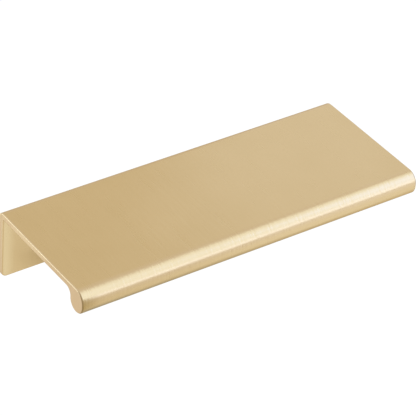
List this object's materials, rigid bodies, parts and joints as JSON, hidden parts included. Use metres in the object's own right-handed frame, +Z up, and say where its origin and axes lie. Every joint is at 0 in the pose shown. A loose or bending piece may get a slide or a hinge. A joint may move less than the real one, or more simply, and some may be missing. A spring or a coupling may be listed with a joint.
{
  "type": "tab pull",
  "caption": "Drawer edge pull in satin brass: a drilled leg that screws behind the drawer front, a flat plate over its top edge and a beaded lip for the fingers.",
  "frame": {"origin": "midway between the two screw holes, on the leg's face that lies against the back of the drawer front", "axes": "+X along the pull and the drawer front, -Y out of the drawer towards the lip, +Z up, out of the flat plate's top"},
  "size_m": [0.1016, 0.0397, 0.0198],
  "materials": {
    "satin_brass": "satin, finely brushed"
  },
  "bodies": {
    "root": {"tab_pull": "satin_brass"}
  },
  "joints": []
}
